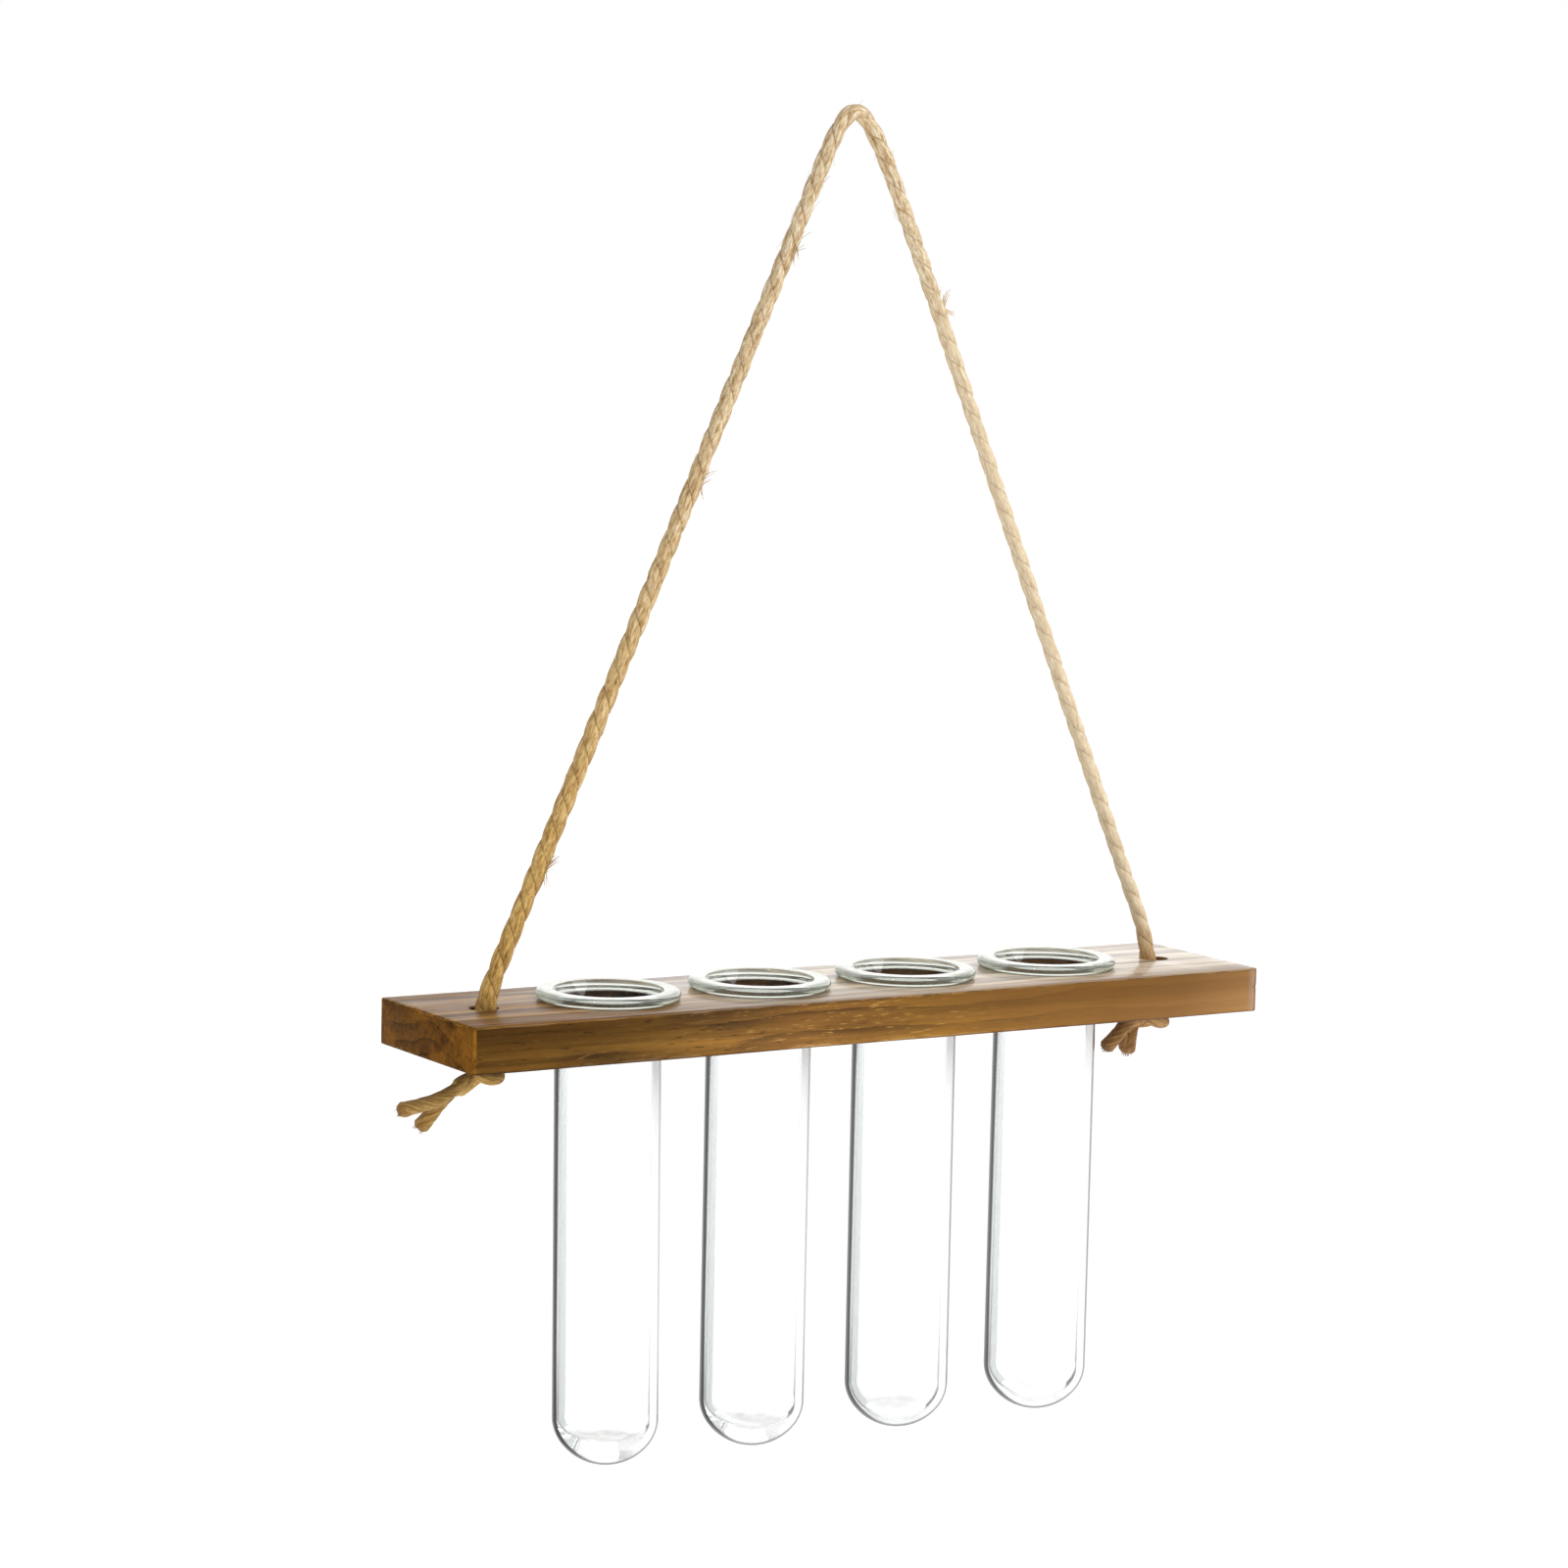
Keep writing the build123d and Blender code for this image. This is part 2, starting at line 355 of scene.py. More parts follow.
TAIL_POINTS = 36
TAIL_SPIN_PITCH = 21 * MM
TAIL_RIDGES, TAIL_LUMPS, TAIL_SQUASH = 0.075, 0.06, 0.86
TAIL_START, TAIL_FULL_AT, TAIL_END_SWELL = 0.72, 0.4, 0.22
BLUNTED_OVER, SHADED_OVER, BLUNT_END = 0.7 * MM, 1.0 * MM, 0.4
TAIL_TONE, TAIL_TONE_SWING = 0.58, 0.5


def loose_ply(line, along, thickness, name):
    """A single ply past the knot, with ridged fibres and a blunt end."""
    across, beside = carry_across(line)
    around = np.linspace(0, 2 * math.pi, TAIL_POINTS, endpoint=False)
    share = along / along[-1]
    swell = TAIL_START + (1 - TAIL_START) * np.clip(share / TAIL_FULL_AT, 0, 1)
    swell += TAIL_END_SWELL * share**3
    to_end = along[-1] - along
    tip = np.sqrt(np.clip(to_end / BLUNTED_OVER, BLUNT_END, 1))
    radius = thickness * swell * tip * lumps(along, TAIL_LUMPS)
    s = along[:, None]
    turned_by = around[None, :] - s * 2 * math.pi / TAIL_SPIN_PITCH
    ridge = ridges(turned_by, s)
    height = radius[:, None] * (1 + TAIL_RIDGES * ridge)
    rings = (line[:, None, :] + (height * np.cos(around))[:, :, None] * across[:, None, :]
             + (height * np.sin(around) * TAIL_SQUASH)[:, :, None] * beside[:, None, :])
    # The tone paints shade between the ridges and over the blunt end.
    tone = np.clip(TAIL_TONE + TAIL_TONE_SWING * ridge, 0.05, 1)
    tone = tone * np.clip(to_end / SHADED_OVER, BLUNT_END, 1)[:, None]
    return skin(rings, fibre_places(s, turned_by, thickness), tone, name)


knots, tails = {}, {}
for side in ("left", "right"):
    line, along = walk(read_line(f"{side}_knot_guide", knot_route(side)), KNOT_STEP)
    loosened = np.clip((along - along[-1] + STEM_LENGTH) / STEM_LOOSENING, 0, 1)
    taper = np.clip((along[-1] - along) / STEM_TAPER, STEM_TIP, 1)
    diameter = KNOT_ROPE_DIAMETER * (1 + STEM_SWELL * loosened) * taper
    knots[side] = laid_rope(line, along, diameter, f"{side}_overhand_knot")
    loose = []
    for k, (radius, route) in enumerate(TAILS[side]):
        line, along = walk(read_line(f"{side}_tail_guide", from_middle(side, route)), TAIL_STEP)
        loose.append(loose_ply(line, along, radius * MM, f"{side}_tail_{k}"))
    tails[side] = join(loose, f"{side}_loose_tails")
    print(side, "knot:", len(knots[side].data.polygons), "faces; tails:",
          len(tails[side].data.polygons), "faces")

# %% [markdown]
# ## Stray fibres
# Jute is hairy. Each stray fibre is a bent three-sided sliver, rooted in the rope and standing
# a millimetre or so off it. There are nearly a thousand, so each has only fourteen faces. In four
# places a whole tuft has come loose, and the cut ends of the tails are fringed. A hair system
# would be quicker to make, but it isn't a mesh that can be kept.

# %% Stray fibres
FIBRE_TONE = 0.6
FIBRE_WIDTHS = (0.04, 0.085)
ROPE_END_STEPS = 30
# How many hairs, how long they are and how far they stand off, in millimetres.
HAIRS = [(300, (2.5, 7.0), (0.3, 1.6)), (600, (1.2, 3.0), (0.25, 0.7))]
# Each tuft's share of the rope's length, its angle round the rope, its rise and its weight.
TUFTS = [(0.097, 2.4, 3.0, 2.2), (0.424, 2.3, 2.8, 2.2), (0.612, 6.0, 4.2, 3.2),
         (0.30, 2.3, 3.0, 1.6)]
TUFT_FIBRES = 14
# Where a fibre bends and ends: shares of its length, of its rise and of its drift sideways.
BEND_AT, TIP_AT = (0.55, 0.25, 0.2), (0.9, 1.0, 0.5)
ROOT_DEPTH = 0.85
SLIVER_SPANS, SLIVER_TAPER, SLIVER_CORNERS = 4, 0.6, (0, 2.094, 4.189)
hair_dice = random.Random(11)


def sliver(root, lean, tip, thickness):
    """Rings of a thin bent fibre."""
    rings = []
    for k in range(SLIVER_SPANS + 1):
        t = k / SLIVER_SPANS
        place = (1 - t) ** 2 * root + 2 * t * (1 - t) * lean + t * t * tip
        run = (1 - t) * (lean - root) + t * (tip - lean)
        side_way = run.cross(Vector((0.31, 0.77, 0.55))).normalized()
        other_way = run.normalized().cross(side_way)
        width = thickness * (1 - SLIVER_TAPER * t)
        rings.append([place + width * (math.cos(a) * side_way + math.sin(a) * other_way)
                      for a in SLIVER_CORNERS])
    return rings


def fibre_mesh(slivers, name):
    """All the slivers of one piece, as one mesh."""
    places, faces, fibre = [], [], []
    for rings in slivers:
        first = len(places)
        for i, ring in enumerate(rings):
            places += ring
            fibre += [(first * 0.01 + i * 0.001, 0.0, 0.0)] * 3
        last = first + 3 * (len(rings) - 1)
        for low in range(first, last, 3):
            for j in range(3):
                k = (j + 1) % 3
                faces.append((low + j, low + k, low + 3 + k, low + 3 + j))
        faces += [(first + 2, first + 1, first), (last, last + 1, last + 2)]
    return jute_mesh(name, places, faces, fibre, np.full(len(places), FIBRE_TONE))


def across_from(run):
    """Two directions across a run."""
    base = run.cross(Vector((0, 1, 0.01))).normalized()
    return base, run.cross(base)


def stray(step, length, rise, angle=None, weight=1.0):
    """One fibre that leaves the rope's surface at a step, along it and a little outwards."""
    run = Vector(rope_line[step + 1] - rope_line[step - 1]).normalized()
    base, other = across_from(run)
    a = hair_dice.uniform(0, ABOUT_A_TURN) if angle is None else angle
    outwards = math.cos(a) * base + math.sin(a) * other
    sideways = run.cross(outwards)
    if hair_dice.random() < 0.5:
        run = -run
    drift = hair_dice.uniform(-0.5, 0.5)
    root = Vector(rope_line[step]) + outwards * (rope_diameter[step] / 2) * ROOT_DEPTH
    lean, tip = [root + run * length * onward + outwards * rise * off
                 + sideways * drift * length * aside for onward, off, aside in (BEND_AT, TIP_AT)]
    return sliver(root, lean, tip, weight * hair_dice.uniform(*FIBRE_WIDTHS) * MM)


hairs = []
for count, lengths, rises in HAIRS:
    for _ in range(count):
        step = hair_dice.randrange(ROPE_END_STEPS, len(rope_line) - ROPE_END_STEPS)
        hairs.append(stray(step, hair_dice.uniform(*lengths) * MM, hair_dice.uniform(*rises) * MM))
for place, angle, rise, weight in TUFTS:
    for _ in range(TUFT_FIBRES):
        step = int(len(rope_line) * (place + hair_dice.uniform(-0.003, 0.003)))
        hairs.append(stray(step, hair_dice.uniform(3, 6) * MM,
                           hair_dice.uniform(0.5, 1.0) * rise * MM,
                           angle + hair_dice.uniform(-0.5, 0.5), weight))
rope_fibres = fibre_mesh(hairs, "rope_stray_fibres")
print("stray fibres:", len(hairs), "with", len(rope_fibres.data.polygons), "faces")

# %% Fringes
FRINGE_FIBRES = 26
FRINGE_WIDTHS = (0.08, 0.15)


def fringe(route, radius):
    """Loose fibre ends that stick out of a tail's cut face."""
    points = read_line("fringe_guide", route)
    end, run = Vector(points[-1]), Vector(points[-1] - points[-4]).normalized()
    base, other = across_from(run)
    ends = []
    for _ in range(FRINGE_FIBRES):
        a, off = hair_dice.uniform(0, ABOUT_A_TURN), math.sqrt(hair_dice.random())
        outwards = (math.cos(a) * base + math.sin(a) * other) * off
        root = end + outwards * 0.7 * radius - run * 0.6 * MM
        tip = (root + run * hair_dice.uniform(0.8, 1.9) * MM
               + outwards * hair_dice.uniform(0, 0.5) * MM)
        lean = root.lerp(tip, 0.5) + base * hair_dice.uniform(-0.15, 0.15) * MM
        ends.append(sliver(root, lean, tip, hair_dice.uniform(*FRINGE_WIDTHS) * MM))
    return ends


for side in ("left", "right"):
    ends = []
    for radius, route in TAILS[side]:
        ends += fringe(from_middle(side, route), radius * MM)
    tails[side] = join([tails[side], fibre_mesh(ends, "fringe")], f"{side}_loose_tails")
    print(side, "fringe:", len(ends), "fibre ends")

# %% [markdown]
# ## Recipes for materials
# A material is a tree of nodes, and by hand each would be added and wired in the shader editor. A
# recipe holds one tree and has a method for each kind of step, so that a finish can be read from
# top to bottom. A step takes numbers, colours or the outputs of earlier steps, and gives an output.
# Most finishes are a colour under several coats, so one step lays coats over each other.

# %% Recipes
class Recipe:
    """A node tree, with one method for each kind of step."""

    def __init__(self, tree):
        self.nodes, self.links = tree.nodes, tree.links

    def add(self, kind, **settings):
        """A new node with these settings."""
        node = self.nodes.new(kind)
        for name, value in settings.items():
            setattr(node, name, value)
        return node

    def feed(self, socket, value):
        """Link an output to a socket, or set a number, a vector or a colour on it."""
        if hasattr(value, "links"):
            self.links.new(value, socket)
        elif socket.type == "RGBA":
            socket.default_value = (*value, 1.0)
        else:
            socket.default_value = value

    def dress(self, node, values):
        """Feed a node's sockets by their names."""
        for name, value in values.items():
            self.feed(node.inputs[name], value)

    def place(self, kind="Object"):
        """A texture coordinate."""
        return self.add("ShaderNodeTexCoord").outputs[kind]

    def attribute(self, name, output):
        """A value that the mesh keeps at its points."""
        return self.add("ShaderNodeAttribute", attribute_name=name).outputs[output]

    def axes(self, vector):
        """A vector's X, Y and Z."""
        node = self.add("ShaderNodeSeparateXYZ")
        self.feed(node.inputs["Vector"], vector)
        return list(node.outputs)

    def ramp(self, value, stops, name):
        """A colour from a ramp with these stops."""
        node = self.add("ShaderNodeValToRGB", name=name)
        elements = node.color_ramp.elements
        while len(elements) < len(stops):
            elements.new(0.5)
        for element, (position, colour) in zip(elements, stops):
            element.position = position
            element.color = (*colour, 1.0)
        self.feed(node.inputs["Fac"], value)
        return node.outputs["Color"]

    def noise(self, vector, scale, detail, name, roughness=0.55):
        """Noise on a vector, stretched by a scale along each axis."""
        mapping = self.add("ShaderNodeMapping")
        self.dress(mapping, {"Scale": scale, "Vector": vector})
        node = self.add("ShaderNodeTexNoise", name=name)
        self.dress(node, {"Scale": 1.0, "Detail": detail, "Roughness": roughness,
                          "Vector": mapping.outputs["Vector"]})
        return node.outputs["Fac"]

    def mix(self, blend, factor, first, second):
        """Two colours mixed."""
        node = self.add("ShaderNodeMix", data_type="RGBA", blend_type=blend)
        for number, value in ((0, factor), (6, first), (7, second)):
            self.feed(node.inputs[number], value)
        return node.outputs[2]

    def layers(self, colour, *coats):
        """A colour under coats, each a way to mix, a factor and a colour."""
        for blend, factor, coat in coats:
            colour = self.mix(blend, factor, colour, coat)
        return colour

    def measure(self, operation, *values):
        """One step of arithmetic on numbers."""
        node = self.add("ShaderNodeMath", operation=operation)
        for socket, value in zip(node.inputs, values):
            self.feed(socket, value)
        return node.outputs[0]

    def times(self, first, second):
        """Two numbers multiplied."""
        return self.measure("MULTIPLY", first, second)

    def rest(self, value):
        """What is left of one."""
        return self.measure("SUBTRACT", 1.0, value)

    def vector(self, operation, *values):
        """One step of arithmetic on vectors; a dot product gives a number."""
        node = self.add("ShaderNodeVectorMath", operation=operation)
        for socket, value in zip(node.inputs, values):
            self.feed(socket, value)
        return node.outputs["Value" if operation == "DOT_PRODUCT" else "Vector"]

    def stretch(self, value, low, high, to_low=0.0, to_high=1.0, smooth=True):
        """A number taken from one range to another and kept inside it."""
        kind = "SMOOTHSTEP" if smooth else "LINEAR"
        node = self.add("ShaderNodeMapRange", interpolation_type=kind)
        self.dress(node, {"Value": value, "From Min": low, "From Max": high,
                          "To Min": to_low, "To Max": to_high})
        return node.outputs["Result"]

    def bump(self, height, strength, distance):
        """A normal that is bumped by a height."""
        node = self.add("ShaderNodeBump")
        self.dress(node, {"Strength": strength, "Distance": distance, "Height": height})
        return node.outputs["Normal"]


def new_material(name):
    """A material, the recipe of its nodes and its shader."""
    material = bpy.data.materials.new(name)
    material.use_nodes = True
    recipe = Recipe(material.node_tree)
    return material, recipe, recipe.nodes["Principled BSDF"]


def put_on(material, pieces):
    """Give pieces this material and no other."""
    for piece in pieces:
        piece.data.materials.clear()
        piece.data.materials.append(material)
    print(material.name, "on", len(pieces), "pieces:", len(material.node_tree.nodes), "nodes")


print("recipe steps:", [name for name in vars(Recipe) if not name.startswith("_")])

# %% [markdown]
# ## Jute
# Jute is a dry, dull golden fibre with paler and browner hairs beside each other. The fibre place
# of each point, stretched far more around the ply than along it, turns plain noise into hairs that
# follow the twist. The tone paints shade into the furrows, where little light gets in. Towards the
# left hole the rope is tanned. On the right it is faded above the bar, and below it, where it goes
# into its hole, painted shade browns it.

# %% Jute material
WHITE = (1.0, 1.0, 1.0)
HAIR_COLOURS = [(0.30, (0.31, 0.18, 0.075)), (0.42, (0.62, 0.44, 0.235)),
                (0.55, (0.87, 0.71, 0.47)), (0.68, (1.0, 0.93, 0.78))]
STRAND_TINTS = [(0.34, (0.66, 0.56, 0.43)), (0.56, WHITE)]
# The furrow colour is painted shade.
SPECK_BROWN, FURROW_BROWN = (0.36, 0.19, 0.065), (0.32, 0.185, 0.08)
# The last of these colours is painted shade, where the rope goes into its right hole.
TANNED_JUTE, FADED_JUTE, SHADED_JUTE = (0.82, 0.66, 0.32), (0.90, 0.76, 0.54), (0.72, 0.53, 0.33)

jute, steps, shader = new_material("jute_rope")
fibre = steps.attribute("fibre", "Vector")
tone = steps.attribute("tone", "Fac")
rope_x, _, rope_z = steps.axes(steps.place())
hair = steps.noise(fibre, (330, 1350, 1350), 4, "hairs", 0.65)
strand = steps.noise(fibre, (90, 900, 900), 2, "strands")
speck = steps.noise(fibre, (330, 1150, 1150), 1, "specks")
specked = steps.layers(
    steps.ramp(hair, HAIR_COLOURS, "jute_colours"),
    ("MULTIPLY", 0.8, steps.ramp(strand, STRAND_TINTS, "strand_tint")),
    ("MIX", steps.stretch(speck, 0.62, 0.72, 0.0, 0.55), SPECK_BROWN))
furrowed = steps.mix("MIX", tone, FURROW_BROWN, specked)
above_bar = steps.stretch(rope_z, -0.246, -0.227)
above_right = steps.times(above_bar, steps.stretch(rope_x, 0.0, 0.05, 0.0, 0.5))
below_right = steps.times(steps.rest(above_bar), steps.stretch(rope_x, 0.06, 0.09))
aged = steps.layers(furrowed, ("MULTIPLY", steps.stretch(rope_x, -0.02, -0.112), TANNED_JUTE),
                    ("MIX", above_right, FADED_JUTE), ("MULTIPLY", below_right, SHADED_JUTE))
steps.dress(shader, {"Base Color": aged, "Roughness": 0.88, "Specular IOR Level": 0.15,
                     "Sheen Weight": 0.25, "Sheen Roughness": 0.5,
                     "Normal": steps.bump(hair, 0.55, 0.3 * MM)})

soft_pieces = [rope, rope_fibres, *knots.values(), *tails.values()]
put_on(jute, soft_pieces)

# %% [markdown]
# ## The rope on its bodies
# The knots and their loose tails go with the bar, and the frame's own rope pieces are hidden. The
# sling and its stray fibres keep their places in the frame, with their transforms applied.

# %% Rope bodies
for piece in (rope, rope_fibres):
    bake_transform(piece)
for side in ("left", "right"):
    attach(knots[side], "bar")
    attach(tails[side], "bar")
    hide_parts(f"{side}_knot")
    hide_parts(f"{side}_loose_plies")
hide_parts("rope_loop", "left_rope_shank", "right_rope_shank")

# %% [markdown]
# ## Wooden bar
# The bar is a planed board with four tube holes and two rope holes. It starts as a cube, which is
# cut into short lengths so that its planed faces can wander a little, and its edges are bevelled.
# The holes are cut by turned plugs whose ends flare, so that each hole gets its eased edge in the
# same cut. A few nicks are cut out of the edges as well.

# %% Bar block
BAR_LENGTH, BAR_WIDTH, BAR_THICKNESS = 260.0 * MM, 55.0 * MM, 13.0 * MM
BAR_TOP = -242.0 * MM
BAR_MIDDLE, BAR_BOTTOM = BAR_TOP - BAR_THICKNESS / 2, BAR_TOP - BAR_THICKNESS
BAR_EDGE = 0.55 * MM
SLICES = 40
WANDER_SIZE, WANDER_HEIGHT = 0.045, 0.35 * MM

bpy.ops.object.select_all(action="DESELECT")
bpy.ops.mesh.primitive_cube_add(size=1)
bar = bpy.context.object
bar.name = bar.data.name = "stained_bar"
bpy.ops.object.mode_set(mode="EDIT")
bpy.ops.transform.resize(value=(BAR_LENGTH, BAR_WIDTH, BAR_THICKNESS))
bpy.ops.transform.translate(value=(0, 0, BAR_MIDDLE))
bpy.ops.mesh.select_all(action="SELECT")
bpy.ops.mesh.bevel(offset=BAR_EDGE, segments=3, profile=0.5, affect="EDGES")
for k in range(1, SLICES):
    bpy.ops.mesh.select_all(action="SELECT")
    bpy.ops.mesh.bisect(plane_co=(BAR_LENGTH * (k / SLICES - 0.5), 0, 0), plane_no=(1, 0, 0))
bpy.ops.object.mode_set(mode="OBJECT")
wander = bpy.data.textures.new("planed_wander", "CLOUDS")
wander.noise_scale = WANDER_SIZE
uneven = bar.modifiers.new("uneven", "DISPLACE")
uneven.texture = wander
uneven.texture_coords = "LOCAL"
uneven.strength = WANDER_HEIGHT
bpy.ops.object.modifier_apply(modifier=uneven.name)
print("bar block:", len(bar.data.polygons), "faces")

# %% Bar holes
TUBE_PITCH = 49.0 * MM
TUBE_XS = [(k - 1.5) * TUBE_PITCH for k in range(4)]
ROPE_HOLE_X = 112.5 * MM
TUBE_HOLE_RADIUS, ROPE_HOLE_RADIUS = 15.5 * MM, 4.0 * MM
TUBE_HOLE_STEPS, ROPE_HOLE_STEPS = 96, 48
HOLE_EASE = 0.5 * MM


def turned(name, profile, x, count):
    """A piece turned on an upright axis at x, from a profile of (radius, height) points."""
    bpy.ops.object.select_all(action="DESELECT")
    bpy.ops.mesh.primitive_plane_add(size=1 * MM)
    piece = bpy.context.object
    piece.name = piece.data.name = name
    bpy.ops.object.mode_set(mode="EDIT")
    bpy.ops.mesh.select_all(action="SELECT")
    bpy.ops.mesh.merge(type="CENTER")
    here = Vector((x + profile[0][0], 0, profile[0][1]))
    bpy.ops.transform.translate(value=here)
    for radius, height in profile[1:]:
        there = Vector((x + radius, 0, height))
        bpy.ops.mesh.extrude_vertices_move(TRANSFORM_OT_translate={"value": there - here})
        here = there
    bpy.ops.mesh.select_all(action="SELECT")
    bpy.ops.mesh.spin(steps=count, angle=2 * math.pi, center=(x, 0, 0), axis=(0, 0, 1))
    bpy.ops.mesh.select_all(action="SELECT")
    bpy.ops.mesh.remove_doubles(threshold=1e-6)
    bpy.ops.mesh.normals_make_consistent(inside=False)
    bpy.ops.object.mode_set(mode="OBJECT")
    return piece


def pick(piece):
    """Select one piece alone."""
    bpy.ops.object.select_all(action="DESELECT")
    piece.select_set(True)
    bpy.context.view_layer.objects.active = piece


def cut_away(piece, cutter):
    """Cut one mesh out of another and throw the cutter away."""
    pick(piece)
    cut = piece.modifiers.new("cut", "BOOLEAN")
    cut.operation = "DIFFERENCE"
    cut.solver = "EXACT"
    cut.object = cutter
    bpy.ops.object.modifier_apply(modifier=cut.name)
    bpy.data.objects.remove(cutter)


def arc(x, z, radius, start, end, count):
    """Points of an arc, in degrees, the first one left out."""
    turns = [math.radians(start + (end - start) * k / count) for k in range(1, count + 1)]
    return [(x + radius * math.cos(a), z + radius * math.sin(a)) for a in turns]


def plug_profile(radius):
    """Half of a plug: straight, with ends that flare past the bar's faces."""
    half, past = BAR_THICKNESS / 2, BAR_THICKNESS / 2 + 1.2 * HOLE_EASE
    flare = arc(radius + HOLE_EASE, half - HOLE_EASE, HOLE_EASE, 180, 90, 4)
    upper = [(radius, half - HOLE_EASE)] + flare + [(radius + 2.5 * HOLE_EASE, past), (0, past)]
    lower = [(r, -h) for r, h in reversed(upper)]
    return [(r, BAR_MIDDLE + h) for r, h in lower + upper]


for x in TUBE_XS:
    cut_away(bar, turned("plug", plug_profile(TUBE_HOLE_RADIUS), x, TUBE_HOLE_STEPS))
for x in (-ROPE_HOLE_X, ROPE_HOLE_X):
    cut_away(bar, turned("plug", plug_profile(ROPE_HOLE_RADIUS), x, ROPE_HOLE_STEPS))
print("bar with holes:", len(bar.data.polygons), "faces")

# %% Bar nicks
# Each nick's place and size, in millimetres.
NICKS = [(130.0, -27.5, -247.6, 0.9), (130.0, -27.5, -248.9, 0.6), (128.9, -27.6, -242.0, 0.7),
         (61.0, -27.6, -254.9, 0.8), (-38.0, -27.6, -242.0, 0.5), (-97.0, -27.6, -255.0, 0.9),
         (-130.0, 8.0, -242.0, 0.7), (-130.0, -27.4, -251.0, 0.5), (18.0, 27.5, -242.0, 0.8),
         (130.0, 14.0, -255.0, 0.9), (-64.0, 27.5, -255.0, 0.6), (99.0, 27.5, -242.1, 0.6)]
NICK_SHAPE = (1.9, 0.7, 0.8)
for x, y, z, size in NICKS:
    bpy.ops.object.select_all(action="DESELECT")
    bpy.ops.mesh.primitive_ico_sphere_add(subdivisions=2, radius=size * MM)
    chip = bpy.context.object
    bpy.ops.object.mode_set(mode="EDIT")
    bpy.ops.transform.resize(value=NICK_SHAPE)
    bpy.ops.transform.translate(value=(x * MM, y * MM, z * MM))
    bpy.ops.object.mode_set(mode="OBJECT")
    cut_away(bar, chip)
pick(bar)
bpy.ops.object.shade_smooth_by_angle(angle=math.radians(32))
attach(bar, "bar")
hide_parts("wooden_bar")
print("bar:", len(bar.data.polygons), "faces after", len(NICKS), "nicks")

# %% [markdown]
# ## Stained wood: rings, stain and flecks
# The wood is a soft, open-grained board with a brown stain that took unevenly. Growth rings are
# rings about an axis along the bar, so the long faces show streaks and the ends show arcs, as in
# sawn wood. A picture of wood would be quicker, but it would stop at every edge. Fibres, pores and
# pale flecks are noise drawn out along the bar. Pores, flecks and dark patches fade to the right.

# %% Wood rings and stain
RING_COLOURS = [(0.0, (0.185, 0.088, 0.020)), (0.6, (0.150, 0.070, 0.016)),
                (0.9, (0.105, 0.050, 0.013)), (1.0, (0.085, 0.041, 0.012))]
STREAK_TINTS = [(0.30, (0.60, 0.57, 0.54)), (0.50, (0.97, 0.97, 0.97)), (0.72, (1.28, 1.25, 1.2))]
SWAY_REACH, RING_SHIFT = (0.0, 0.02, 0.02), (0.0, -0.012, 0.305)
AMBER, SOOT, PALE_FLECK, PORE_BROWN = ((0.30, 0.140, 0.022), (0.42, 0.38, 0.33),
                                       (0.35, 0.195, 0.053), (0.035, 0.016, 0.007))

wood, steps, shader = new_material("stained_wood")
bar_place = steps.place()
bar_x, bar_y, bar_z = steps.axes(bar_place)
sway = steps.noise(bar_place, (9, 22, 22), 2, "sway")
sway_step = steps.add("ShaderNodeCombineXYZ")
steps.dress(sway_step, {"Y": sway, "Z": sway})
swayed = steps.vector("MULTIPLY_ADD", sway_step.outputs["Vector"], SWAY_REACH, bar_place)
ring_place = steps.add("ShaderNodeMapping")
steps.dress(ring_place, {"Location": RING_SHIFT, "Vector": swayed})
rings = steps.add("ShaderNodeTexWave", wave_type="RINGS", rings_direction="X", wave_profile="SAW")
steps.dress(rings, {"Scale": 62.0, "Distortion": 2.2, "Detail": 3.0, "Detail Scale": 0.6,
                    "Vector": ring_place.outputs["Vector"]})
to_right = steps.stretch(bar_x, -0.02, 0.075)


def fewer_to_right(value, share):
    """A value that loses this share of itself towards the bar's right end."""
    return steps.times(value, steps.measure("MULTIPLY_ADD", to_right, -share, 1.0))


stain = steps.noise(bar_place, (14, 45, 75), 3, "stain_patches")
soot = steps.noise(bar_place, (10, 60, 90), 2, "dark_patches")
streak = steps.noise(bar_place, (9, 620, 620), 4, "streaks", 0.6)
fleck = steps.noise(bar_place, (190, 2300, 1900), 2, "flecks")
grained = steps.layers(
    steps.ramp(rings.outputs["Fac"], RING_COLOURS, "ring_colours"),
    ("MIX", steps.stretch(stain, 0.46, 0.66, 0.0, 0.85), AMBER),
    ("MULTIPLY", fewer_to_right(steps.stretch(soot, 0.52, 0.70, 0.0, 0.75), 0.75), SOOT),
    ("MULTIPLY", 0.9, steps.ramp(streak, STREAK_TINTS, "streak_tint")),
    ("MIX", fewer_to_right(steps.stretch(fleck, 0.61, 0.68, 0.0, 0.6), 0.8), PALE_FLECK),
    ("MIX", fewer_to_right(steps.stretch(fleck, 0.36, 0.30, 0.0, 0.6), 0.6), PORE_BROWN))
print("wood rings and stain:", len(steps.nodes), "nodes")
